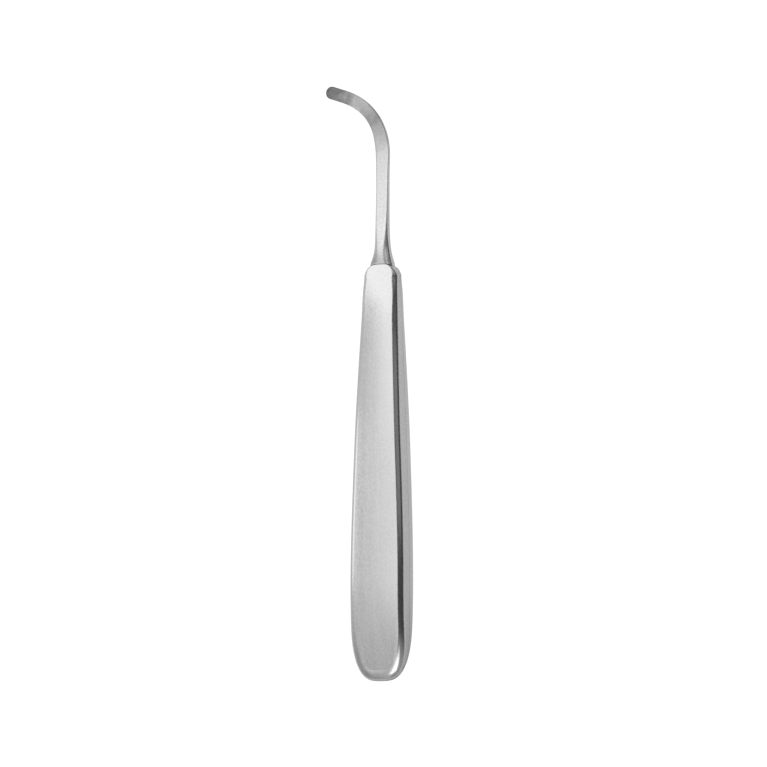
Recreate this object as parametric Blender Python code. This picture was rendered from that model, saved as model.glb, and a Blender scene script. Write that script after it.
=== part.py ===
"""Curved root elevator of a left and right pair, with a flat hollow handle.

It lies on the back face of its handle. +X runs along the handle to the tip, +Z comes out of the front face,
and the blade bends towards +Y. The origin is on the back face, about half way along the handle.
Lengths below are in millimetres and become metres as each mesh is made.
"""
import math

import bmesh
import bpy
from mathutils import Vector

MM = 0.001
GAP = 0.3              # clearance between neighbouring pieces
ROUNDING = 1e-6        # metres: points closer than this are one point

# Handle: two pressed shells that meet at mid-thickness
SHOULDER_X = 52.7      # where the straight sides end, near the neck
BUTT_X = -55.1         # far end of the rounded butt
WIDEST_X = -30.0
WIDEST_HALF_WIDTH = 8.45
TAPER = 0.049          # side slope far from the widest place
TAPER_START = 22.6     # length over which the sides ease into that slope
BUTT_LENGTH = 15.8
BUTT_ROUNDNESS = 3.05  # exponent of the superellipse at the butt
DOME_HEIGHT = 2.9      # how far the neck end bows out past the shoulders
DOME_ROUNDNESS = 3.4
HALF_THICKNESS = 3.75
LAND_START = -27.0     # the two faces are flat and parallel from here
LAND_END = 8.0         # to here
NECK_THINNING = 1.55   # loss of half thickness at the shoulders
NECK_EASE = 1.6
BUTT_THINNING = 2.4    # loss of half thickness at the butt
BUTT_EASE = 2.5
EDGE_RADIUS = 1.9      # long edges
NECK_EDGE_RADIUS = 1.55
BUTT_EDGE_WIDTH = 2.8  # the rounding of the butt's edge is wider than it is high
BUTT_EDGE_START = -42.0
BUTT_EDGE_END = -51.0
SIDE_BULGE = 0.12      # the side walls swell this much at the seam
WALL = 0.6
LEAST_EDGE = 0.25      # smallest rounding of the inner skin
LEAST_SIDE = 0.1       # height of side wall left under the rounded edge
LEAST_STEP = 0.02      # smallest distance along x between one row of a skin and the next

# Forging: tang, bolster, shank and blade in one
TANG_END_X = 42.0
TANG_HALF_WIDTH = 1.7
TANG_HALF_HEIGHT = 0.6
TANG_SQUARENESS = 5.0  # superellipse exponent of its section
TANG_END_SHARE = 0.8   # the tang's end is this much slimmer, over its last millimetre
SLOT_START_X = 51.6    # the slot for the tang is cut from here out through the neck end
SLOT_LENGTH = 5.0
BOLSTER_X = SHOULDER_X + DOME_HEIGHT + GAP
BOLSTER_FLARE_WIDTH = 1.55
BOLSTER_FLARE_HEIGHT = 0.7
FLARE_LENGTH = 3.5     # length over which the flare falls to a third
FLARE_EASE = 1.4
FOOT_SPREAD = 1.1      # the flare's last section reaches round the bowed neck end
SHANK_HALF_WIDTH = 1.83
NECK_HALF_HEIGHT = 1.3
SHANK_HALF_HEIGHT = 0.9
SLIM_FROM = 58.0       # the round neck becomes a flat bar from here
SLIM_TO = 76.0         # to here
NECK_ROUNDNESS = 1.9   # superellipse exponents of the sections
FRONT_FLATNESS = 12.0
BACK_FLATNESS = 3.0
BEND_START_X = 83.75
BEND_LENGTH = 23.6
BEND_ANGLE = math.radians(71.4)
BEND_EASE = 0.47       # 0 is an even arc; 1 starts and ends the bend with no curvature
BEND_SWELL = 0.25      # the blade is this much wider, each side, early in the bend
BEND_SWELL_PLACE = 3.5
BEND_SWELL_LENGTH = 6.0
BLADE_LENGTH = 5.1     # straight part beyond the bend
TIP_HALF_WIDTH = 1.7
TIP_FRONT_HEIGHT = 0.5
TIP_BACK_DEPTH = 0.6
TIP_ROUND = 1.9
TIP_ROUND_THINNING = 0.45  # share of its height that the tip loses at its very end
LEAST_TIP_WIDTH = 0.25     # share of its width that is left at its very end
THIN_FROM = -25.0          # along the centre line: the bar starts to thin here
THIN_BEFORE_TIP = 3.0      # and has the tip's height this far before the tip
WALK_STEP = 0.25       # the bend's centre line is walked in steps no longer than this

# Solder
SEAM_BEAD_END_X = 38.0
SEAM_BEAD_WIDTH = 0.5
SEAM_BEAD_HALF_HEIGHT = 0.25
COLLAR_START_X = 43.5
COLLAR_END_X = 47.0
COLLAR_THICKNESS = 0.4

EDGE_STEPS = 4         # facets round a long edge
ACROSS_STEPS = 4       # facets across a face
RING_POINTS = 20       # points round the forging


def clear_scene():
    for old in list(bpy.data.objects):
        bpy.data.objects.remove(old)


def steel_like(name, colour, roughness):
    material = bpy.data.materials.new(name)
    material.use_nodes = True
    shader = material.node_tree.nodes["Principled BSDF"]
    shader.inputs["Base Color"].default_value = (*colour, 1.0)
    shader.inputs["Roughness"].default_value = roughness
    shader.inputs["Metallic"].default_value = 1.0
    return material


def add_piece(name, mesh_data, material):
    """Closes up doubled points, turns the faces outwards and puts the piece at mid-thickness height."""
    bmesh.ops.remove_doubles(mesh_data, verts=mesh_data.verts, dist=ROUNDING)
    bmesh.ops.recalc_face_normals(mesh_data, faces=mesh_data.faces)
    mesh = bpy.data.meshes.new(name)
    mesh_data.to_mesh(mesh)
    mesh_data.free()
    mesh.materials.append(material)
    mesh.shade_smooth()
    mesh.set_sharp_from_angle(angle=math.radians(30.0))
    piece = bpy.data.objects.new(name, mesh)
    bpy.context.scene.collection.objects.link(piece)
    return piece


def world_point(x, y, z):
    """z counts from the handle's mid-thickness."""
    return Vector((x, y, z + HALF_THICKNESS)) * MM


def smooth_step(value, low, high):
    t = min(max((value - low) / (high - low), 0.0), 1.0)
    return t * t * (3.0 - 2.0 * t)


def blend(start, end, t):
    return start + (end - start) * t


# ---------------------------------------------------------------- handle form

def straight_half_width(x):
    ease = math.hypot(x - WIDEST_X, TAPER_START) - TAPER_START
    return WIDEST_HALF_WIDTH - (TAPER * ease if x > WIDEST_X else 0.0)


def half_thickness(x):
    if x > LAND_END:
        t = (x - LAND_END) / (SHOULDER_X - LAND_END)
        return HALF_THICKNESS - NECK_THINNING * t ** NECK_EASE
    t = max((LAND_START - x) / (LAND_START - BUTT_X), 0.0)
    return HALF_THICKNESS - BUTT_THINNING * t ** BUTT_EASE


def edge_radius(x):
    return blend(EDGE_RADIUS, NECK_EDGE_RADIUS, smooth_step(x, SHOULDER_X - 9.0, SHOULDER_X))


def edge_width(x):
    return blend(edge_radius(x), BUTT_EDGE_WIDTH, smooth_step(-x, -BUTT_EDGE_START, -BUTT_EDGE_END))


def dome_x(y):
    """The neck end of the handle, seen from the front."""
    across = min(abs(y) / straight_half_width(SHOULDER_X), 1.0)
    return SHOULDER_X + DOME_HEIGHT * (1.0 - across ** DOME_ROUNDNESS)


def half_outline():
    """One side of the handle seen from the front, from the middle of the neck end to the middle of the butt."""
    points = []
    corner = straight_half_width(SHOULDER_X)
    for step in range(8):
        y = corner * math.sin(math.radians(90.0) * step / 8)
        points.append((dome_x(y), y))
    butt_start = BUTT_X + BUTT_LENGTH
    stations = [SHOULDER_X, 49.5, 46.0, 40.0, 32.0, 24.0, 16.0, LAND_END, 0.0, -9.0, -18.0, LAND_START, -33.0]
    points += [(x, straight_half_width(x)) for x in stations]
    for step in range(13):
        angle = math.radians(90.0) * step / 12
        x = butt_start - BUTT_LENGTH * math.sin(angle) ** (2.0 / BUTT_ROUNDNESS)
        shrink = max(math.cos(angle), 0.0) ** (2.0 / BUTT_ROUNDNESS) if step < 12 else 0.0
        points.append((x, straight_half_width(x) * shrink))
    return points


def outward_normals(points):
    normals = []
    for index, (x, y) in enumerate(points):
        before = points[max(index - 1, 0)]
        after = points[min(index + 1, len(points) - 1)]
        normals.append(Vector((before[1] - after[1], after[0] - before[0])).normalized() * -1.0)
    normals[0] = Vector((1.0, 0.0))
    normals[-1] = Vector((-1.0, 0.0))
    return normals


def skin_rows(depth, seam_height):
    """Rows of points over one half of the handle, from the +Y rim over the face to the -Y rim.

    depth is how far the skin lies inside the outer surface. A row never reaches back over the row before it,
    which it would do at the shoulders, where the rounding is wider than the corner.
    """
    outline = half_outline()
    rows = []
    before = [BOLSTER_X] * (EDGE_STEPS + 2)
    for (x, y), normal in zip(outline, outward_normals(outline)):
        width = max(edge_width(x) - depth, LEAST_EDGE)
        face_x = min(x - normal.x * (depth + SIDE_BULGE + width), before[-1] - LEAST_STEP)
        top = half_thickness(face_x) - depth
        height = min(max(edge_radius(x) - depth, LEAST_EDGE), top - seam_height - LEAST_SIDE)
        side = [(depth, seam_height), (depth + SIDE_BULGE, top - height)]
        for step in range(1, EDGE_STEPS + 1):
            angle = math.radians(90.0) * step / EDGE_STEPS
            inset = depth + SIDE_BULGE + width * (1.0 - math.cos(angle))
            side.append((inset, top - height + height * math.sin(angle)))
        plan = []
        for (inset, z), limit in zip(side, before):
            plan.append((min(x - normal.x * inset, limit - LEAST_STEP), max(y - normal.y * inset, 0.0), z))
        before = [px for px, py, pz in plan]
        edge_x, edge_y, edge_z = plan[-1]
        row = list(plan)
        for step in range(1, ACROSS_STEPS):
            row.append((edge_x, edge_y * (1.0 - 2.0 * step / ACROSS_STEPS), edge_z))
        row += [(px, -py, pz) for px, py, pz in reversed(plan)]
        rows.append(row)
    return rows


def handle_shell(name, side, material):
    """side is 1 for the front shell and -1 for the back one."""
    mesh_data = bmesh.new()
    skins = []
    for depth in (0.0, WALL):
        rows = skin_rows(depth, GAP / 2)
        skin = [[mesh_data.verts.new(world_point(x, y, side * z)) for x, y, z in row] for row in rows]
        skins.append(skin)
        for row, following in zip(skin, skin[1:]):
            for a, b, c, d in zip(row, row[1:], following[1:], following):
                mesh_data.faces.new((a, b, c, d))
    outer, inner = skins
    for rim in (0, -1):
        for index in range(len(outer) - 1):
            loop = (outer[index][rim], outer[index + 1][rim], inner[index + 1][rim], inner[index][rim])
            mesh_data.faces.new(loop)
    return add_piece(name, mesh_data, material)


def cut_tang_slot(shells):
    """The notch in each shell's neck end that the tang passes through."""
    bpy.ops.mesh.primitive_cube_add(size=1.0, location=world_point(SLOT_START_X + SLOT_LENGTH / 2, 0.0, 0.0))
    cutter = bpy.context.active_object
    cutter.name = "tang_slot_cutter"
    cutter.dimensions = Vector((SLOT_LENGTH, 2 * (TANG_HALF_WIDTH + GAP), 2 * (TANG_HALF_HEIGHT + GAP))) * MM
    cutter.hide_render = True
    cutter.display_type = "WIRE"
    for shell in shells:
        cut = shell.modifiers.new("tang_slot", "BOOLEAN")
        cut.operation = "DIFFERENCE"
        cut.object = cutter


# ---------------------------------------------------------------- forging

def superellipse_ring(half_width, front, back, front_power, back_power):
    """Points of a section as (across, up), flatter where the power is higher."""
    ring = []
    for step in range(RING_POINTS):
        angle = math.tau * (step + 0.5) / RING_POINTS
        c = math.cos(angle)
        s = math.sin(angle)
        power = front_power if s > 0 else back_power
        height = front if s > 0 else back
        across = half_width * math.copysign(abs(c) ** (2.0 / power), c)
        ring.append((across, height * math.copysign(abs(s) ** (2.0 / power), s)))
    return ring


def heading_at(distance):
    """Angle from +X of the centre line, at a distance from the bend's start."""
    t = min(max(distance / BEND_LENGTH, 0.0), 1.0)
    return BEND_ANGLE * blend(t, smooth_step(t, 0.0, 1.0), BEND_EASE)


def centre_line(distance):
    """Place and heading at a distance from the bend's start; negative is back along the shank."""
    place = Vector((BEND_START_X + min(distance, 0.0), 0.0))
    count = math.ceil(max(distance, 0.0) / WALK_STEP)
    for number in range(count):
        stride = distance / count
        angle = heading_at(stride * (number + 0.5))
        place += Vector((math.cos(angle), math.sin(angle))) * stride
    angle = heading_at(distance)
    return place, Vector((math.cos(angle), math.sin(angle)))


def section_at(distance, tip_distance):
    """The shank's or blade's section at a distance from the bend's start."""
    x = BEND_START_X + distance
    flare = math.exp(-(max(x - BOLSTER_X, 0.0) / FLARE_LENGTH) ** FLARE_EASE)
    slim = smooth_step(x, SLIM_FROM, SLIM_TO)
    along = smooth_step(distance, THIN_FROM, tip_distance - THIN_BEFORE_TIP)
    swell = BEND_SWELL * math.exp(-((distance - BEND_SWELL_PLACE) / BEND_SWELL_LENGTH) ** 2)
    width = blend(SHANK_HALF_WIDTH, TIP_HALF_WIDTH, along) + BOLSTER_FLARE_WIDTH * flare + swell
    height = blend(NECK_HALF_HEIGHT, SHANK_HALF_HEIGHT, slim) + BOLSTER_FLARE_HEIGHT * flare
    front = blend(height, TIP_FRONT_HEIGHT, along)
    back = blend(height, TIP_BACK_DEPTH, along)
    beyond = max(distance - (tip_distance - TIP_ROUND), 0.0) / TIP_ROUND
    shrink = max(math.sqrt(max(1.0 - beyond ** 2, 0.0)), LEAST_TIP_WIDTH)
    thin = 1.0 - TIP_ROUND_THINNING * beyond ** 3
    front_power = blend(NECK_ROUNDNESS, FRONT_FLATNESS, slim)
    back_power = blend(NECK_ROUNDNESS, BACK_FLATNESS, slim)
    return superellipse_ring(width * shrink, front * thin, back * thin, front_power, back_power)


def forging_rings():
    rings = []
    tang = superellipse_ring(TANG_HALF_WIDTH, TANG_HALF_HEIGHT, TANG_HALF_HEIGHT, TANG_SQUARENESS, TANG_SQUARENESS)
    rings.append([(TANG_END_X, y * TANG_END_SHARE, z * TANG_END_SHARE) for y, z in tang])
    rings.append([(TANG_END_X + 1.0, y, z) for y, z in tang])
    rings.append([(dome_x(y) + GAP, y, z) for y, z in tang])

    tip_distance = BEND_LENGTH + BLADE_LENGTH
    bolster_distance = BOLSTER_X - BEND_START_X
    rings.append([(dome_x(y * FOOT_SPREAD) + GAP, y * FOOT_SPREAD, z)
                  for y, z in section_at(bolster_distance, tip_distance)])
    distances = [bolster_distance + step for step in (0.8, 1.7, 2.8, 4.2, 6.2, 9.5, 14.0, 19.0)]
    distances += [step for step in (0.0, 2.3, 4.6, 6.9, 9.2, 11.5, 13.8, 16.1, 18.4, 20.7, 23.6)]
    round_steps = 6
    round_start = tip_distance - TIP_ROUND
    for step in range(round_steps + 1):
        distances.append(round_start + TIP_ROUND * math.sin(math.radians(90.0) * step / round_steps))
    for distance in distances:
        place, heading = centre_line(distance)
        ring = []
        for across, up in section_at(distance, tip_distance):
            ring.append((place.x - heading.y * across, place.y + heading.x * across, up))
        rings.append(ring)
    return rings


def blade_and_shank(material):
    mesh_data = bmesh.new()
    rings = [[mesh_data.verts.new(world_point(*point)) for point in ring] for ring in forging_rings()]
    for ring, following in zip(rings, rings[1:]):
        for index in range(RING_POINTS):
            after = (index + 1) % RING_POINTS
            mesh_data.faces.new((ring[index], ring[after], following[after], following[index]))
    mesh_data.faces.new(rings[0])
    mesh_data.faces.new(rings[-1])
    return add_piece("blade_and_shank", mesh_data, material)


# ---------------------------------------------------------------- solder

def seam_solder(material):
    """A fillet bead inside the handle, along the seam from one side of the neck round the butt to the other."""
    outline = half_outline()
    near = [(p, n) for p, n in zip(outline, outward_normals(outline)) if p[0] <= SEAM_BEAD_END_X]
    far = [((x, -y), Vector((n.x, -n.y))) for (x, y), n in reversed(near[:-1])]
    outer = WALL + GAP
    section = [
        (outer, -SEAM_BEAD_HALF_HEIGHT),
        (outer, SEAM_BEAD_HALF_HEIGHT),
        (outer + SEAM_BEAD_WIDTH, SEAM_BEAD_HALF_HEIGHT / 3),
        (outer + SEAM_BEAD_WIDTH, -SEAM_BEAD_HALF_HEIGHT / 3),
    ]
    mesh_data = bmesh.new()
    rings = []
    for (x, y), normal in near + far:
        places = [(x - normal.x * inset, y - normal.y * inset, z) for inset, z in section]
        rings.append([mesh_data.verts.new(world_point(*place)) for place in places])
    for ring, following in zip(rings, rings[1:]):
        for index in range(len(section)):
            after = (index + 1) % len(section)
            mesh_data.faces.new((ring[index], ring[after], following[after], following[index]))
    mesh_data.faces.new(rings[0])
    mesh_data.faces.new(rings[-1])
    return add_piece("seam_solder", mesh_data, material)


def neck_solder(material):
    """A collar of solder round the tang, inside the neck."""
    bores = []
    for extra in (GAP, GAP + COLLAR_THICKNESS):
        half_width = TANG_HALF_WIDTH + extra
        half_height = TANG_HALF_HEIGHT + extra
        bores.append(superellipse_ring(half_width, half_height, half_height, TANG_SQUARENESS, TANG_SQUARENESS))
    mesh_data = bmesh.new()
    loops = []
    for bore, x in ((0, COLLAR_START_X), (0, COLLAR_END_X), (1, COLLAR_END_X), (1, COLLAR_START_X)):
        loops.append([mesh_data.verts.new(world_point(x, y, z)) for y, z in bores[bore]])
    for loop, following in zip(loops, loops[1:] + loops[:1]):
        for index in range(RING_POINTS):
            after = (index + 1) % RING_POINTS
            mesh_data.faces.new((loop[index], loop[after], following[after], following[index]))
    return add_piece("neck_solder", mesh_data, material)


def main():
    clear_scene()
    satin_steel = steel_like("satin_steel", (0.62, 0.62, 0.63), 0.32)
    forged_steel = steel_like("forged_steel", (0.56, 0.56, 0.57), 0.36)
    silver_solder = steel_like("silver_solder", (0.72, 0.70, 0.62), 0.30)
    front = handle_shell("front_handle_shell", 1, satin_steel)
    back = handle_shell("back_handle_shell", -1, satin_steel)
    cut_tang_slot([front, back])
    blade_and_shank(forged_steel)
    seam_solder(silver_solder)
    neck_solder(silver_solder)


main()
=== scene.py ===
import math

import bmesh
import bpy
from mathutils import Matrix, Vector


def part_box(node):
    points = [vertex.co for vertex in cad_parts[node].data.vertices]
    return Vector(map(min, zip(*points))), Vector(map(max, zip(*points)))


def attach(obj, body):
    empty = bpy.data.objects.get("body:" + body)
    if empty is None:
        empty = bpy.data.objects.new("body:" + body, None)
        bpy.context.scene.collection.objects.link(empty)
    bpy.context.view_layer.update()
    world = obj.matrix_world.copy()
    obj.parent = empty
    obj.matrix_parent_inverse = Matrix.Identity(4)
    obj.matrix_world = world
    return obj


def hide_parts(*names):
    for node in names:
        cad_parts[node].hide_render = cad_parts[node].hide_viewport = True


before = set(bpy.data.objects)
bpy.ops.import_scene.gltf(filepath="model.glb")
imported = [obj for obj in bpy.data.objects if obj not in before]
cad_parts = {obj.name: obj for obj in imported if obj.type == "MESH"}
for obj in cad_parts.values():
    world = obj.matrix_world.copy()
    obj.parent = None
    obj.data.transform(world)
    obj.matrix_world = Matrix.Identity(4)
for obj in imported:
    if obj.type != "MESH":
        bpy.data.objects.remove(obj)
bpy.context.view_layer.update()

# %% [markdown]
# A curved root elevator is a hand lever: a small blade, bent sideways, at the end of a slim shank. The handle is
# broad, flat and hollow. Two pressed half shells are silver-soldered together along their rims, and the forging
# that holds blade, shank and bolster is soldered into the neck. The frame that was just loaded fixes where every
# piece goes. This lesson makes the fine surfaces and their finish inside it, so the first thing to keep is the
# frame's own box. Lengths below are in millimetres, which suit such a small tool, and become metres at the end.

MM = 0.001
shell_low, shell_high = (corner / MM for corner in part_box("front_handle_shell"))
forging_low, forging_high = (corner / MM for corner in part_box("blade_and_shank"))
print("handle", round(shell_high.x - shell_low.x, 1), "mm, whole tool",
      round(forging_high.x - shell_low.x, 1), "mm")

# %% [markdown]
# A long lens far away keeps the long edges of the handle parallel, as in a catalogue picture. The camera looks at
# the front face from thirty degrees to the side, so that one long edge shows too, and the tip points up. A Track
# To constraint would aim a camera as well, but it chooses the roll itself. Building the three axes by hand keeps
# the roll exact.

# %% The camera
SIDE_TURN = math.radians(30.0)
BUTT_TILT = math.radians(5.0)
ROLL = math.radians(0.2)
CAMERA_DISTANCE = 1.4
IMAGE_FILL = 0.7834     # the tool's length as a share of the picture's height
AIM_SHIFT = Vector((-0.8, -0.3, 0.0)) * MM
SENSOR = 36.0

towards_camera = Vector((
    -math.sin(BUTT_TILT),
    -math.sin(SIDE_TURN) * math.cos(BUTT_TILT),
    math.cos(SIDE_TURN) * math.cos(BUTT_TILT),
))
level = Vector((0.0, -math.cos(SIDE_TURN), -math.sin(SIDE_TURN)))
image_right = Matrix.Rotation(ROLL, 3, towards_camera) @ level
image_up = towards_camera.cross(image_right)


def aimed(axes, place):
    turn = Matrix(axes).transposed().to_4x4()
    return Matrix.Translation(place) @ turn


tool_length = (forging_high.x - shell_low.x) * MM
middle = Vector(((shell_low.x + forging_high.x) / 2, 0.0, shell_high.z / 2)) * MM
camera_data = bpy.data.cameras.new("studio_camera")
camera_data.sensor_width = SENSOR
camera_data.lens = SENSOR * CAMERA_DISTANCE * IMAGE_FILL / tool_length
camera = bpy.data.objects.new("studio_camera", camera_data)
camera_place = middle + AIM_SHIFT + towards_camera * CAMERA_DISTANCE
camera.matrix_world = aimed((image_right, image_up, towards_camera), camera_place)
bpy.context.scene.collection.objects.link(camera)
bpy.context.scene.camera = camera
bpy.context.scene.view_settings.view_transform = "Standard"
print("lens", round(camera_data.lens, 1), "mm")

# %% [markdown]
# Every material, lamp and backdrop below is a small network of nodes. Adding a node by hand takes a line for the
# node, one for each setting and one for each link. These helpers do that in one call, and a socket that is handed
# in as a value is linked instead of copied.

# %% Node helpers
def add_node(tree, kind, settings=None, values=None):
    node = tree.nodes.new(kind)
    for name, value in (settings or {}).items():
        setattr(node, name, value)
    for name, value in (values or {}).items():
        if isinstance(value, bpy.types.NodeSocket):
            tree.links.new(value, node.inputs[name])
        else:
            node.inputs[name].default_value = value
    return node


def calculate(tree, operation, first, second):
    return add_node(tree, "ShaderNodeMath", {"operation": operation}, {0: first, 1: second}).outputs[0]


def ease(tree, source, low, high, start, end):
    """Goes smoothly from start to end while the source goes from low to high."""
    values = {"Value": source, "From Min": low, "From Max": high, "To Min": start, "To Max": end}
    return add_node(tree, "ShaderNodeMapRange", {"interpolation_type": "SMOOTHSTEP"}, values).outputs[0]


def curve(tree, source, stops):
    """Straight mixes between (position, value) stops, all from 0 to 1."""
    node = add_node(tree, "ShaderNodeValToRGB", values={"Fac": source})
    elements = node.color_ramp.elements
    elements.remove(elements[1])
    elements[0].position = stops[0][0]
    elements[0].color = (*[stops[0][1]] * 3, 1.0)
    for position, value in stops[1:]:
        elements.new(position).color = (*[value] * 3, 1.0)
    return node.outputs["Color"]


def choose(tree, share, without, fully):
    return add_node(tree, "ShaderNodeMix", {"data_type": "FLOAT"}, {0: share, 2: without, 3: fully}).outputs[0]


print("node helpers: add_node, calculate, ease, curve, choose")

# %% [markdown]
# Metal shows what stands round it, so the light is built as surfaces and not as lamps. The tool lies on a glowing
# white table, the kind that leaves no shadow. A table like this is brighter to the eye than its reflection in
# satin steel, so it has two strengths: one for the camera, and a lower one for everything that it lights. Round
# the butt's corner that lower strength dims further. This is a painted shadow of the tool on the table, and only
# the steel shows it.

# %% The table
TABLE_SIZE = 3.0
TABLE_DROP = 0.0005
TABLE_SEEN = 1.06
TABLE_IN_STEEL = 0.75
# near the butt's corner the steel sees the table this dim: a painted shadow of the tool
TABLE_PAINTED_SHADOW_AT_BUTT = 0.48
BUTT_SHADE_SIZE = 0.03


def glowing(name, strength):
    material = bpy.data.materials.new(name)
    material.use_nodes = True
    tree = material.node_tree
    tree.nodes.clear()
    glow = add_node(tree, "ShaderNodeEmission", values={"Strength": strength})
    add_node(tree, "ShaderNodeOutputMaterial", values={"Surface": glow.outputs[0]})
    return material, tree, glow


def card(name, size, place, facing, material):
    """A flat panel, (along X, across) in size, that faces a direction."""
    facing = Vector(facing).normalized()
    across = facing.cross(Vector((1, 0, 0))).normalized()
    along = across.cross(facing)
    mesh = bpy.data.meshes.new(name)
    corners = [(-1, -1), (1, -1), (1, 1), (-1, 1)]
    mesh.from_pydata([(a * size[0] / 2, b * size[1] / 2, 0.0) for a, b in corners], [], [(0, 1, 2, 3)])
    mesh.materials.append(material)
    panel = bpy.data.objects.new(name, mesh)
    panel.matrix_world = aimed((along, across, facing), Vector(place))
    bpy.context.scene.collection.objects.link(panel)
    return panel


table_glow, tree, glow = glowing("table_glow", TABLE_SEEN)
butt_corner = Vector((shell_low.x, shell_low.y / 2, 0.0)) * MM
# the glow that the steel sees fades towards the butt's corner: a painted shadow of the tool on the table
place = add_node(tree, "ShaderNodeTexCoord").outputs["Object"]
apart = add_node(tree, "ShaderNodeVectorMath", {"operation": "DISTANCE"}, {0: place, 1: butt_corner})
lit = ease(tree, apart.outputs["Value"], 0.0, BUTT_SHADE_SIZE, TABLE_PAINTED_SHADOW_AT_BUTT, TABLE_IN_STEEL)
direct = add_node(tree, "ShaderNodeLightPath").outputs["Is Camera Ray"]
tree.links.new(choose(tree, direct, lit, TABLE_SEEN), glow.inputs["Strength"])
table = card("table", (TABLE_SIZE, TABLE_SIZE), (0, 0, -TABLE_DROP), (0, 0, 1), table_glow)
print("table", table.dimensions.x, "m square")

# %% [markdown]
# The room is the World shader. The direction of a ray decides how bright it is: a broad soft wall of light stands
# on the blade's side of the handle, brightest opposite the middle and dimmer towards the butt and the far tip. The
# camera's side stays dark, and that dark is what draws the black line down the rounded edge. A picture on a sphere
# would light the tool too, but a few ramps say plainly what is where.

# %% The room
ROOM_GLOW = 0.07
WALL_GLOW = 1.54
WALL_EDGE = (0.02, 0.26)            # how far left the wall starts, and where it is at full strength
WALL_SHADE = (0.36, 0.64)           # further left it dims, from the first gain to the second
SHADE_GAIN = (1.28, 0.62)
BUTT_FILL = 0.34                    # a little light from beyond the butt
BUTT_FILL_REACH = (-0.50, -0.08)
TIP_FILL = 0.16                     # and less from beyond the tip
TIP_FILL_REACH = (0.45, 0.90)
BACKDROP_SEEN = 0.92
WALL_STOPS = [                      # (direction along X, strength)
    (-1.0, 0.24), (-0.40, 0.35), (-0.27, 0.40), (-0.19, 0.45), (-0.10, 0.53), (-0.02, 0.60),
    (0.06, 0.71), (0.09, 0.76), (0.20, 0.81), (0.30, 0.60), (0.37, 0.42), (0.50, 0.32), (1.0, 0.30),
]

world = bpy.data.worlds.new("studio")
bpy.context.scene.world = world
world.use_nodes = True
tree = world.node_tree
direction = add_node(tree, "ShaderNodeTexCoord").outputs["Generated"]
split = add_node(tree, "ShaderNodeSeparateXYZ", values={0: direction})
towards_tip, towards_left = split.outputs["X"], split.outputs["Y"]
along = calculate(tree, "ADD", calculate(tree, "MULTIPLY", towards_tip, 0.5), 0.5)
wall = curve(tree, along, [(x / 2 + 0.5, value) for x, value in WALL_STOPS])
wall = calculate(tree, "MULTIPLY", wall, ease(tree, towards_left, *WALL_EDGE, 0.0, WALL_GLOW))
wall = calculate(tree, "MULTIPLY", wall, ease(tree, towards_left, *WALL_SHADE, *SHADE_GAIN))
butt_fill = ease(tree, towards_tip, *BUTT_FILL_REACH, BUTT_FILL, 0.0)
tip_fill = ease(tree, towards_tip, *TIP_FILL_REACH, 0.0, TIP_FILL)
fill = calculate(tree, "ADD", butt_fill, tip_fill)
room = calculate(tree, "ADD", calculate(tree, "MAXIMUM", wall, fill), ROOM_GLOW)
direct = add_node(tree, "ShaderNodeLightPath").outputs["Is Camera Ray"]
tree.links.new(choose(tree, direct, room, BACKDROP_SEEN), tree.nodes["Background"].inputs["Strength"])
tree.nodes["Background"].inputs["Color"].default_value = (1.0, 1.0, 1.0, 1.0)
print("room of", len(tree.nodes), "nodes")

# %% [markdown]
# A few small cards stand close to the tool. A room far away looks the same from every point of a flat face, but a
# card a hand's breadth away is seen only by the stretch next to it. One brightens the neck end of the face and one
# its left edge. One above the butt makes the slanting highlight on its corner. Three grey ones on the camera's side
# lift the dark line half way along the handle and down the side of the shank. Their places and strengths suit this
# one camera; from elsewhere they are simply more soft light.

# %% Cards near the tool
CARDS = [
    # name, size in m, place in m, faces, glow
    ("neck_card", (0.017, 0.07), (0.0770, 0.052, 0.093), (0.0, -0.5, -0.86), 1.9),
    ("left_card", (0.053, 0.05), (0.000, 0.085, 0.065), (0.0, -0.8, -0.6), 1.6),
    ("butt_card", (0.070, 0.105), (-0.140, -0.006, 0.150), (0.5, 0.0, -1.0), 2.2),
    ("edge_card", (0.067, 0.11), (0.026, -0.065, 0.095), (0.0, 0.55, -0.83), 0.30),
    ("shank_card", (0.050, 0.05), (0.111, -0.022, 0.118), (0.0, 0.55, -0.83), 1.0),
    ("flank_card", (0.050, 0.06), (0.111, -0.075, 0.085), (0.0, 0.55, -0.83), 0.6),
]
for name, size, place, facing, glow in CARDS:
    panel = card(name, size, place, facing, glowing(name + "_glow", glow)[0])
    panel.visible_camera = False
    print(name, "glows", glow)

# %% [markdown]
# Seen from the front the handle is a long drop: nearly straight sides that narrow to the neck, a soft round butt
# and a gently bowed neck end. Seen from the side it is flat in the middle and thinner at both ends. The shape could
# be modelled by hand from a subdivided box, but formulas keep both halves alike and both faces fair, and a
# superellipse gives a butt that is fuller than a half circle.

# %% The handle's form
half_thickness_full = shell_high.z / 2
butt_x = shell_low.x
DOME_HEIGHT = 2.9
shoulder_x = shell_high.x - DOME_HEIGHT
widest_half_width = shell_high.y
WIDEST_X = -30.0
TAPER = 0.049
TAPER_START = 22.6
BUTT_LENGTH = 15.8
BUTT_ROUNDNESS = 3.05
DOME_ROUNDNESS = 3.4
LAND_START = -27.0
LAND_END = 8.0
NECK_THINNING = 1.55
NECK_EASE = 1.6
BUTT_THINNING = 2.4
BUTT_EASE = 2.5


def smooth_step(value, low, high):
    t = min(max((value - low) / (high - low), 0.0), 1.0)
    return t * t * (3.0 - 2.0 * t)


def mix(start, end, t):
    return start + (end - start) * t


def side_half_width(x):
    slope_length = math.hypot(x - WIDEST_X, TAPER_START) - TAPER_START
    return widest_half_width - (TAPER * slope_length if x > WIDEST_X else 0.0)


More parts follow.
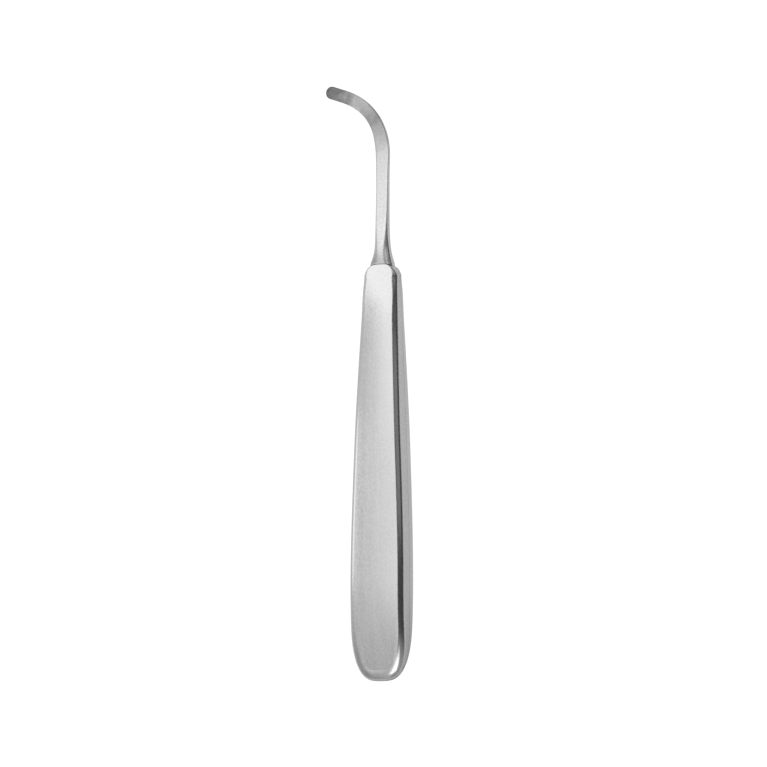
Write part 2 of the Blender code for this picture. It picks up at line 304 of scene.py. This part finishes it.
def half_thickness(x):
    if x > LAND_END:
        t = (x - LAND_END) / (shoulder_x - LAND_END)
        return half_thickness_full - NECK_THINNING * t ** NECK_EASE
    t = max((LAND_START - x) / (LAND_START - butt_x), 0.0)
    return half_thickness_full - BUTT_THINNING * t ** BUTT_EASE


def neck_end_x(y):
    across = min(abs(y) / side_half_width(shoulder_x), 1.0)
    return shoulder_x + DOME_HEIGHT * (1.0 - across ** DOME_ROUNDNESS)


print("half width at the shoulders", round(side_half_width(shoulder_x), 2), "mm")

# %% [markdown]
# A press rounds the rim of each shell. The round is wide along the sides and at the shoulders, where a thumb rests,
# and tight where the bolster covers it. So each point of the outline carries its own edge radius.

# %% The handle's outline
EDGE_RADIUS = 1.9
NECK_EDGE_RADIUS = 1.55
NECK_EDGE_REACH = (40.0, 48.0)
SHOULDER_EDGE_RADIUS = 1.8
SHOULDER_REACH = 5.0
DOME_EDGE_RADIUS = 0.05
BUTT_EDGE_WIDTH = 2.8
BUTT_EDGE_START = -42.0
BUTT_EDGE_END = -51.0
LEAST_SIDE = 0.1
DOME_STEPS = 32
SIDE_STEPS = 90
BUTT_STEPS = 44


def side_radius(x):
    along_side = mix(EDGE_RADIUS, NECK_EDGE_RADIUS, smooth_step(x, *NECK_EDGE_REACH))
    return mix(along_side, SHOULDER_EDGE_RADIUS, smooth_step(x, shoulder_x - SHOULDER_REACH, shoulder_x))


def edge_width(x, radius):
    return mix(radius, BUTT_EDGE_WIDTH, smooth_step(-x, -BUTT_EDGE_START, -BUTT_EDGE_END))


def half_outline():
    """Points (x, y, edge radius) of one side, from the middle of the neck end round to the butt."""
    corner = side_half_width(shoulder_x)
    points = []
    for step in range(DOME_STEPS):
        t = math.sin(math.radians(90.0) * step / DOME_STEPS)
        points.append((neck_end_x(corner * t), corner * t, mix(DOME_EDGE_RADIUS, SHOULDER_EDGE_RADIUS, t ** 4)))
    butt_start = butt_x + BUTT_LENGTH
    for step in range(SIDE_STEPS):
        x = mix(shoulder_x, butt_start, step / SIDE_STEPS)
        points.append((x, side_half_width(x), side_radius(x)))
    for step in range(BUTT_STEPS + 1):
        angle = math.radians(90.0) * step / BUTT_STEPS
        x = butt_start - BUTT_LENGTH * math.sin(angle) ** (2.0 / BUTT_ROUNDNESS)
        shrink = max(math.cos(angle), 0.0) ** (2.0 / BUTT_ROUNDNESS) if step < BUTT_STEPS else 0.0
        points.append((x, side_half_width(x) * shrink, EDGE_RADIUS))
    return points


def outward(points):
    normals = []
    for index in range(len(points)):
        before = points[max(index - 1, 0)]
        after = points[min(index + 1, len(points) - 1)]
        normals.append(Vector((after[1] - before[1], before[0] - after[0])).normalized())
    normals[0] = Vector((1.0, 0.0))
    normals[-1] = Vector((-1.0, 0.0))
    return normals


print("outline of", len(half_outline()), "points a side")

# %% [markdown]
# Each shell is one skin outside, one a wall's thickness further in, and a rim that joins them, so the handle is
# truly hollow. A Solidify modifier could thicken a single skin, but it would round off the rims that have to meet.
# A row of points crosses the handle at each outline point: up the side, round the edge and over a face that is
# crowned a little, because pressed sheet never springs back quite flat. The rim rises where the tang passes. At the
# shoulders the rounding is wider than the corner, so no row is allowed to reach back over the one before it.

# %% A shell's rows of points
EDGE_STEPS = 12
ACROSS_STEPS = 24
SIDE_BULGE = 0.12
CROWN = 0.18
CROWN_ENDS = (-50.0, -28.0, 44.0, 54.0)
WALL = 0.6
LEAST_EDGE = 0.05
SEAM = 0.06
TANG_HALF_WIDTH = 1.7
TANG_HALF_HEIGHT = 0.6
TANG_CLEARANCE = 0.04


def rim_height(x, y):
    over_tang = x > shoulder_x and y < TANG_HALF_WIDTH + TANG_CLEARANCE
    return TANG_HALF_HEIGHT + TANG_CLEARANCE if over_tang else SEAM / 2


def crown(x, y):
    """How far the face swells above its edges; it fades out before the neck and the butt."""
    start, full_from, full_to, end = CROWN_ENDS
    fade = smooth_step(x, start, full_from) * (1.0 - smooth_step(x, full_to, end))
    face_half_width = side_half_width(x) - SIDE_BULGE - EDGE_RADIUS
    return CROWN * fade * max(1.0 - (y / face_half_width) ** 2, 0.0)


def skin_rows(depth):
    """Rows of (x, y, z, edge), this deep under the surface; edge is 1 in the middle of the rounding."""
    outline = half_outline()
    rows = []
    before = [shell_high.x] * (EDGE_STEPS + 3)
    for (x, y, outer_radius), normal in zip(outline, outward(outline)):
        rim = rim_height(x, y)
        width = max(edge_width(x, outer_radius) - depth, LEAST_EDGE)
        full_inset = depth + SIDE_BULGE + width
        edge_x = min(x - normal.x * full_inset, before[-1])
        edge_y = max(y - normal.y * full_inset, 0.0)
        top = half_thickness(edge_x) - depth - CROWN
        height = min(max(outer_radius - depth, LEAST_EDGE), top - rim - LEAST_SIDE)
        side = [(depth, rim, 0.0), (depth + SIDE_BULGE * 0.4, mix(rim, top - height, 0.6), 0.0)]
        for step in range(EDGE_STEPS + 1):
            angle = math.radians(90.0) * step / EDGE_STEPS
            inset = depth + SIDE_BULGE + width * (1.0 - math.cos(angle))
            rise = (height + crown(edge_x, edge_y)) * math.sin(angle)
            side.append((inset, top - height + rise, math.sin(2.0 * angle)))
        plan = []
        for (inset, z, edge), limit in zip(side, before):
            plan.append((min(x - normal.x * inset, limit), max(y - normal.y * inset, 0.0), z, edge))
        before = [point[0] for point in plan]
        row = list(plan)
        for step in range(1, ACROSS_STEPS):
            face_y = edge_y * (1.0 - 2.0 * step / ACROSS_STEPS)
            row.append((edge_x, face_y, top + crown(edge_x, face_y), 0.0))
        row += [(px, -py, pz, edge) for px, py, pz, edge in reversed(plan)]
        rows.append(row)
    return rows


print("a skin has", len(skin_rows(0.0)), "rows of", len(skin_rows(0.0)[0]), "points")

# %% [markdown]
# The finish comes next, before any piece is made, so that each piece can be handed its material. All of the steel
# here is the same metal, and only its surface differs, so one function holds what they share. The steel's colour is
# the share of light that it returns, and it is cut down here and there by grain, by streaks along the tool and by
# soft clouds, which are the marks of polishing and of hands.

# %% Noise for the finishes
def surface_place(tree, stretch=(1.0, 1.0, 1.0), turn=0.0):
    """A point of the surface in metres, squeezed or stretched so that a noise read there has a direction."""
    place = add_node(tree, "ShaderNodeTexCoord").outputs["Object"]
    values = {"Vector": place, "Scale": stretch, "Rotation": (0.0, 0.0, turn)}
    return add_node(tree, "ShaderNodeMapping", {"vector_type": "POINT"}, values).outputs[0]


def patches(tree, size, detail=2.0, stretch=(1.0, 1.0, 1.0), turn=0.0):
    """Noise from 0 to 1 whose patches are about size millimetres across."""
    place = surface_place(tree, stretch, turn)
    values = {"Vector": place, "Scale": 1.0 / (size * MM), "Detail": detail}
    return add_node(tree, "ShaderNodeTexNoise", values=values).outputs[0]


def around(tree, noise_value, low, high):
    """Noise in the middle half of its range, spread from low to high."""
    values = {"Value": noise_value, "From Min": 0.3, "From Max": 0.7, "To Min": low, "To Max": high}
    return add_node(tree, "ShaderNodeMapRange", values=values).outputs[0]


def multiply(tree, *factors):
    product = factors[0]
    for factor in factors[1:]:
        product = calculate(tree, "MULTIPLY", product, factor)
    return product


print("noise helpers: surface_place, patches, around, multiply")

# %% [markdown]
# Satin steel on the handle is polished along its length with a fine soft wheel. That leaves long faint streaks, a
# fine grain that is rougher than a mirror, and rounded edges that hands have rubbed brighter. A painted map could
# hold all this, but noise in the node tree keeps its sharpness at any distance and wraps round every edge.

# %% Satin steel
REFLECTANCE = 0.56
STREAK_STRETCH = (0.05, 1.0, 1.0)


def new_metal(name):
    material = bpy.data.materials.new(name)
    material.use_nodes = True
    shader = material.node_tree.nodes["Principled BSDF"]
    shader.inputs["Metallic"].default_value = 1.0
    return material, material.node_tree, shader


def grain_bump(tree, shader, height, depth_mm):
    values = {"Height": height, "Strength": 1.0, "Distance": depth_mm * MM}
    tree.links.new(add_node(tree, "ShaderNodeBump", values=values).outputs[0], shader.inputs["Normal"])


def satin_steel():
    material, tree, shader = new_metal("satin_steel_finish")
    worn = add_node(tree, "ShaderNodeAttribute", {"attribute_name": "edge_wear"}).outputs["Fac"]
    grain = patches(tree, 0.55, detail=3.0)
    streaks = patches(tree, 1.6, detail=2.0, stretch=STREAK_STRETCH)
    clouds = patches(tree, 14.0, detail=2.0, stretch=(0.5, 1.0, 1.0))
    tone = multiply(
        tree, around(tree, grain, 0.91, 1.06), around(tree, streaks, 0.96, 1.03), around(tree, clouds, 0.95, 1.03),
    )
    bare = multiply(tree, tone, REFLECTANCE)
    tree.links.new(calculate(tree, "MULTIPLY", bare, choose(tree, worn, 1.0, 1.05)), shader.inputs["Base Color"])
    rough = multiply(tree, around(tree, streaks, 0.22, 0.26), around(tree, grain, 0.9, 1.12))
    tree.links.new(multiply(tree, rough, choose(tree, worn, 1.0, 0.85)), shader.inputs["Roughness"])
    scratches = patches(tree, 0.25, detail=1.0, stretch=(0.06, 1.0, 1.0), turn=0.35)
    height = calculate(tree, "ADD", grain, multiply(tree, scratches, 0.25))
    grain_bump(tree, shader, height, 0.006)
    return material


handle_steel = satin_steel()
print(handle_steel.name, "has", len(handle_steel.node_tree.nodes), "nodes")

# %% [markdown]
# The forging is the same steel with another history. Its shank is polished like the handle, but the bend was heated
# to be shaped and the tip is blasted and hardened, so both are duller and mottled. Their colour also darkens in
# steps, once part way round the bend and most at the tip. That is partly the grey of this finish and partly painted
# shade, for faces that lie in shadow. The mesh carries a value that runs from 0 at the bend to 1 at the tip, and
# the material reads its tone and roughness from that value, so the finish and the painted shade follow the curve of
# the blade wherever it goes.

# %% Forged steel
FORGED_REFLECTANCE = 0.6
# (share of the way to the tip, tone): the duller finish's grey, together with painted shade on the bend and the tip
TIP_TONES_AND_PAINTED_SHADE = [
    (0.0, 1.0), (0.13, 1.0), (0.30, 0.78), (0.40, 0.68), (0.48, 0.54), (0.60, 0.90), (0.72, 0.94),
    (0.79, 0.64), (0.85, 0.43), (1.0, 0.38),
]


def forged_steel():
    material, tree, shader = new_metal("forged_steel_finish")
    tipwards = add_node(tree, "ShaderNodeAttribute", {"attribute_name": "towards_tip"}).outputs["Fac"]
    grain = patches(tree, 0.5, detail=3.0)
    mottle = patches(tree, 1.3, detail=3.0)
    wander = around(tree, patches(tree, 4.0), -0.05, 0.05)
    # colour along the blade, part duller finish and part painted shade
    dulling_and_painted_shade = curve(tree, calculate(tree, "ADD", tipwards, wander), TIP_TONES_AND_PAINTED_SHADE)
    mottling = choose(tree, tipwards, 1.0, around(tree, mottle, 0.74, 1.24))
    tone = multiply(tree, around(tree, grain, 0.91, 1.06), mottling, dulling_and_painted_shade, FORGED_REFLECTANCE)
    tree.links.new(tone, shader.inputs["Base Color"])
    rough = multiply(tree, ease(tree, tipwards, 0.0, 0.8, 0.25, 0.44), around(tree, mottle, 0.92, 1.1))
    tree.links.new(rough, shader.inputs["Roughness"])
    grain_bump(tree, shader, calculate(tree, "ADD", grain, multiply(tree, mottle, tipwards)), 0.007)
    return material


forging_steel = forged_steel()
print(forging_steel.name, "has", len(forging_steel.node_tree.nodes), "nodes")

# %% [markdown]
# Silver solder is paler and a touch yellower than steel. It froze from a melt, so its surface is a little lumpy and
# duller, with no polishing marks. Most of it is out of sight inside the handle.

# %% Silver solder
def silver_solder():
    material, tree, shader = new_metal("silver_solder_finish")
    lumps = patches(tree, 0.8, detail=2.0)
    pale = {"A": (0.50, 0.49, 0.45, 1.0), "B": (0.62, 0.60, 0.54, 1.0)}
    colour = add_node(tree, "ShaderNodeMix", {"data_type": "RGBA"}, {0: lumps, 6: pale["A"], 7: pale["B"]})
    tree.links.new(colour.outputs[2], shader.inputs["Base Color"])
    tree.links.new(around(tree, lumps, 0.28, 0.40), shader.inputs["Roughness"])
    grain_bump(tree, shader, lumps, 0.02)
    return material


solder = silver_solder()
print(solder.name, "has", len(solder.node_tree.nodes), "nodes")

# %% [markdown]
# Two helpers turn rows of points into a finished piece: one moves a point from handle millimetres to metres in the
# frame, where the tool lies on its back face, and the other merges doubled points, turns the faces outwards and
# shades the rounds smooth while real corners stay sharp.

# %% Making a piece
MERGE = 1e-7


def to_world(x, y, z):
    return Vector((x, y, z + half_thickness_full)) * MM


def finish_piece(name, mesh_data, material, smooth_angle=40.0):
    bmesh.ops.remove_doubles(mesh_data, verts=mesh_data.verts, dist=MERGE)
    bmesh.ops.recalc_face_normals(mesh_data, faces=mesh_data.faces)
    mesh = bpy.data.meshes.new(name)
    mesh_data.to_mesh(mesh)
    mesh_data.free()
    mesh.materials.append(material)
    mesh.shade_smooth()
    mesh.set_sharp_from_angle(angle=math.radians(smooth_angle))
    piece = bpy.data.objects.new(name, mesh)
    bpy.context.scene.collection.objects.link(piece)
    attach(piece, "root")
    print(name, "has", len(mesh.vertices), "points")
    return piece


def bridge(mesh_data, ring, following, closed=True):
    count = len(ring)
    for index in range(count if closed else count - 1):
        after = (index + 1) % count
        mesh_data.faces.new((ring[index], ring[after], following[after], following[index]))


print("points nearer than", MERGE, "m become one")

# %% [markdown]
# The two shells are the same pressing, one the mirror image of the other. Each is made from its own rows and not
# mirrored by a modifier, because they are two real pieces that meet at a seam.

# %% Handle shells
def handle_shell(name, side, material):
    mesh_data = bmesh.new()
    wear = mesh_data.verts.layers.float.new("edge_wear")
    skins = []
    for depth in (0.0, WALL):
        skin = []
        for row in skin_rows(depth):
            points = []
            for x, y, z, edge in row:
                point = mesh_data.verts.new(to_world(x, y, side * z))
                point[wear] = edge if depth == 0.0 else 0.0
                points.append(point)
            skin.append(points)
        skins.append(skin)
        for row, following in zip(skin, skin[1:]):
            bridge(mesh_data, row, following, closed=False)
    outer, inner = skins
    for rim in (0, -1):
        bridge(mesh_data, [row[rim] for row in outer], [row[rim] for row in inner], closed=False)
    return finish_piece(name, mesh_data, material)


for name, side in (("front_shell", 1), ("back_shell", -1)):
    shell = handle_shell(name, side, handle_steel)
    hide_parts(name.replace("_shell", "_handle_shell"))

# %% [markdown]
# The forging starts as a thin tang inside the handle, flares into the bolster that sits on the neck, and runs out
# as a shank that is nearly round at the neck and a flat bar further on. Then it bends sideways and ends in the
# blade. It is lofted: a section is drawn at many places along a centre line, and neighbours are joined. A curve
# with a bevel object can do that too, but only with one section shape, and here the section changes all the way.

# %% The forging's centre line
BEND_START_X = 83.75
BEND_LENGTH = 23.6
BEND_ANGLE = math.radians(71.4)
BEND_EASE = 0.47
BLADE_LENGTH = 5.1
WALK_STEP = 0.25
tip_distance = BEND_LENGTH + BLADE_LENGTH


def heading_at(distance):
    """Angle from +X; the bend is part even arc and part eased, so that it flows out of the straight shank."""
    t = min(max(distance / BEND_LENGTH, 0.0), 1.0)
    return BEND_ANGLE * mix(t, smooth_step(t, 0.0, 1.0), BEND_EASE)


def centre_line(distance):
    """Place and heading at a distance from the bend's start; negative is back along the shank."""
    place = Vector((BEND_START_X + min(distance, 0.0), 0.0))
    count = math.ceil(max(distance, 0.0) / WALK_STEP)
    for number in range(count):
        stride = distance / count
        angle = heading_at(stride * (number + 0.5))
        place += Vector((math.cos(angle), math.sin(angle))) * stride
    angle = heading_at(distance)
    return place, Vector((math.cos(angle), math.sin(angle)))


print("tip ends", round(centre_line(tip_distance)[0].y, 1), "mm to the side")

# %% [markdown]
# A section is a superellipse, like the outline of the butt. A power of two gives the oval of the neck, and a high
# power gives the flat bar of the shank. The front and the back have powers of their own, because the blade's front
# is flat and its back is rounder. The bolster is only a swelling of the same section, and dies away along the neck.

# %% The forging's sections
RING_POINTS = 72
JOINT = 0.005
bolster_x = shell_high.x + JOINT
BOLSTER_FLARE_WIDTH = 1.7
BOLSTER_FLARE_HEIGHT = 0.7
FLARE_LENGTH = 3.7
FLARE_EASE = 1.15
SHANK_HALF_WIDTH = 1.83
NECK_HALF_HEIGHT = 1.3
SHANK_HALF_HEIGHT = 0.9
SLIM_FROM = 58.0
SLIM_TO = 76.0
NECK_ROUNDNESS = 1.9
FOOT_FLATNESS = 0.8
FRONT_FLATNESS = 12.0
BACK_FLATNESS = 3.0
BEND_SWELL = 0.25
BEND_SWELL_PLACE = 3.5
BEND_SWELL_LENGTH = 6.0
THIN_FROM = -25.0         # along the centre line: the bar starts to thin here
THIN_BEFORE_TIP = 3.0     # and has the tip's height this far before the tip
TIP_HALF_WIDTH = 1.7
TIP_FRONT_HEIGHT = 0.5
TIP_BACK_DEPTH = 0.6
TIP_ROUND = 1.9
TIP_ROUND_THINNING = 0.45
LEAST_TIP_WIDTH = 0.02
round_start = tip_distance - TIP_ROUND


def section_ring(half_width, front, back, front_power, back_power):
    """A closed section as (across, up); the higher a power, the flatter that side."""
    ring = []
    for step in range(RING_POINTS):
        angle = math.tau * (step + 0.5) / RING_POINTS
        c, s = math.cos(angle), math.sin(angle)
        power = front_power if s > 0 else back_power
        height = front if s > 0 else back
        across = half_width * math.copysign(abs(c) ** (2.0 / power), c)
        ring.append((across, height * math.copysign(abs(s) ** (2.0 / power), s)))
    return ring


def section_at(distance):
    x = BEND_START_X + distance
    flare = math.exp(-(max(x - bolster_x, 0.0) / FLARE_LENGTH) ** FLARE_EASE)
    along = smooth_step(distance, THIN_FROM, tip_distance - THIN_BEFORE_TIP)
    swell = BEND_SWELL * math.exp(-((distance - BEND_SWELL_PLACE) / BEND_SWELL_LENGTH) ** 2)
    width = mix(SHANK_HALF_WIDTH, TIP_HALF_WIDTH, along) + BOLSTER_FLARE_WIDTH * flare + swell
    slim = smooth_step(x, SLIM_FROM, SLIM_TO)
    height = mix(NECK_HALF_HEIGHT, SHANK_HALF_HEIGHT, slim) + BOLSTER_FLARE_HEIGHT * flare
    front = mix(height, TIP_FRONT_HEIGHT, along)
    back = mix(height, TIP_BACK_DEPTH, along)
    beyond = max(distance - round_start, 0.0) / TIP_ROUND
    shrink = max(math.sqrt(max(1.0 - beyond ** 2, 0.0)), LEAST_TIP_WIDTH)
    thin = 1.0 - TIP_ROUND_THINNING * beyond ** 3
    front_power = mix(NECK_ROUNDNESS, FRONT_FLATNESS, slim) + FOOT_FLATNESS * flare
    back_power = mix(NECK_ROUNDNESS, BACK_FLATNESS, slim)
    return section_ring(width * shrink, front * thin, back * thin, front_power, back_power)


blade_half_width = max(across for across, up in section_at(BEND_LENGTH))
print("after the bend the blade is", round(2.0 * blade_half_width, 1), "mm wide")

# %% [markdown]
# The sections stand close together where the shape changes quickly, at the bolster, round the bend and at the very
# tip, and far apart along the straight shank. The first rings are the tang and the bolster's foot. The foot is laid
# against the bowed end of the handle, so no gap opens at its sides.

# %% Stations along the forging
DULL_FROM = 4.0           # the duller finish sets in this far before the bend
TANG_SQUARENESS = 5.0
TANG_END_SHARE = 0.8      # the tang's end is this much slimmer, over its last millimetre


def stations():
    """Distances from the bend's start, close together where the shape changes quickly."""
    neck = bolster_x - BEND_START_X
    places = [mix(neck, neck + 10.0, (step / 30) ** 1.5) for step in range(1, 30)]
    places += [mix(neck + 10.0, 0.0, step / 30) for step in range(30)]
    places += [mix(0.0, round_start, step / 70) for step in range(70)]
    return places + [round_start + TIP_ROUND * math.sin(math.radians(90.0) * step / 16) for step in range(17)]


def neck_ring(section):
    """A section laid against the bowed neck end of the handle."""
    return [(neck_end_x(y) + JOINT, y, z, 0.0) for y, z in section]


def forging_rings():
    """Rings of (x, y, z, towards the tip), from the tang's end to the tip."""
    tang = section_ring(TANG_HALF_WIDTH, TANG_HALF_HEIGHT, TANG_HALF_HEIGHT, TANG_SQUARENESS, TANG_SQUARENESS)
    tang_end_x = forging_low.x
    rings = [
        [(tang_end_x, y * TANG_END_SHARE, z * TANG_END_SHARE, 0.0) for y, z in tang],
        [(tang_end_x + 1.0, y, z, 0.0) for y, z in tang],
        neck_ring(tang),
        neck_ring(section_at(bolster_x - BEND_START_X)),
    ]
    for distance in stations():
        place, heading = centre_line(distance)
        tipwards = min(max((distance + DULL_FROM) / (tip_distance + DULL_FROM), 0.0), 1.0)
        rings.append([
            (place.x - heading.y * across, place.y + heading.x * across, up, tipwards)
            for across, up in section_at(distance)
        ])
    return rings


print(len(forging_rings()), "rings of", RING_POINTS, "points")

# %% [markdown]
# Neighbouring rings are now joined by faces and both ends are closed, which makes one solid from tang to tip. Each
# point also stores how far along the blade it is, for the finish to read.

# %% Lofting the forging
forging_data = bmesh.new()
tip_layer = forging_data.verts.layers.float.new("towards_tip")
rings = []
for ring in forging_rings():
    points = []
    for x, y, z, tipwards in ring:
        point = forging_data.verts.new(to_world(x, y, z))
        point[tip_layer] = tipwards
        points.append(point)
    rings.append(points)
for ring, following in zip(rings, rings[1:]):
    bridge(forging_data, ring, following)
forging_data.faces.new(rings[0])
forging_data.faces.new(rings[-1])
forging = finish_piece("blade_shank_and_bolster", forging_data, forging_steel)
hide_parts("blade_and_shank")

# %% [markdown]
# Solder fills the seam between the shells and stands as a small bead inside the handle. From outside it is only a
# hairline along the side. It is swept along the same outline as the shells, so that it follows them exactly.

# %% Seam solder
SEAM_SUNK = 0.03
WEB_HALF_HEIGHT = 0.02
BEAD_GAP = 0.02
BEAD_WIDTH = 0.5
BEAD_HALF_HEIGHT = 0.3
SOLDER_END_X = 52.0


def bead_section():
    """(inset, up) round the web in the seam and the bead behind it."""
    inside = WALL + BEAD_GAP
    upper = [(SEAM_SUNK, WEB_HALF_HEIGHT), (inside, WEB_HALF_HEIGHT), (inside, BEAD_HALF_HEIGHT)]
    for step in range(1, 6):
        angle = math.radians(90.0) * step / 6
        upper.append((inside + BEAD_WIDTH * math.sin(angle), BEAD_HALF_HEIGHT * math.cos(angle)))
    return upper + [(inset, -up) for inset, up in reversed(upper)]


outline = half_outline()
near = [(x, y, n) for (x, y, _), n in zip(outline, outward(outline)) if x <= SOLDER_END_X]
far = [(x, -y, Vector((n.x, -n.y))) for x, y, n in reversed(near[:-1])]
bead_data = bmesh.new()
rings = []
for x, y, normal in near + far:
    ring = [to_world(x - normal.x * inset, y - normal.y * inset, up) for inset, up in bead_section()]
    rings.append([bead_data.verts.new(point) for point in ring])
for ring, following in zip(rings, rings[1:]):
    bridge(bead_data, ring, following)
bead_data.faces.new(rings[0])
bead_data.faces.new(rings[-1])
bead = finish_piece("seam_solder_bead", bead_data, solder)
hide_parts("seam_solder")

# %% [markdown]
# The collar of solder round the tang sits inside the neck, where nobody sees it. Its plain shape in the frame is
# right as it is, so it stays and only gets the solder's finish.

# %% Neck solder
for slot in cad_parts["neck_solder"].material_slots:
    slot.material = solder
    print("neck_solder wears", slot.material.name)
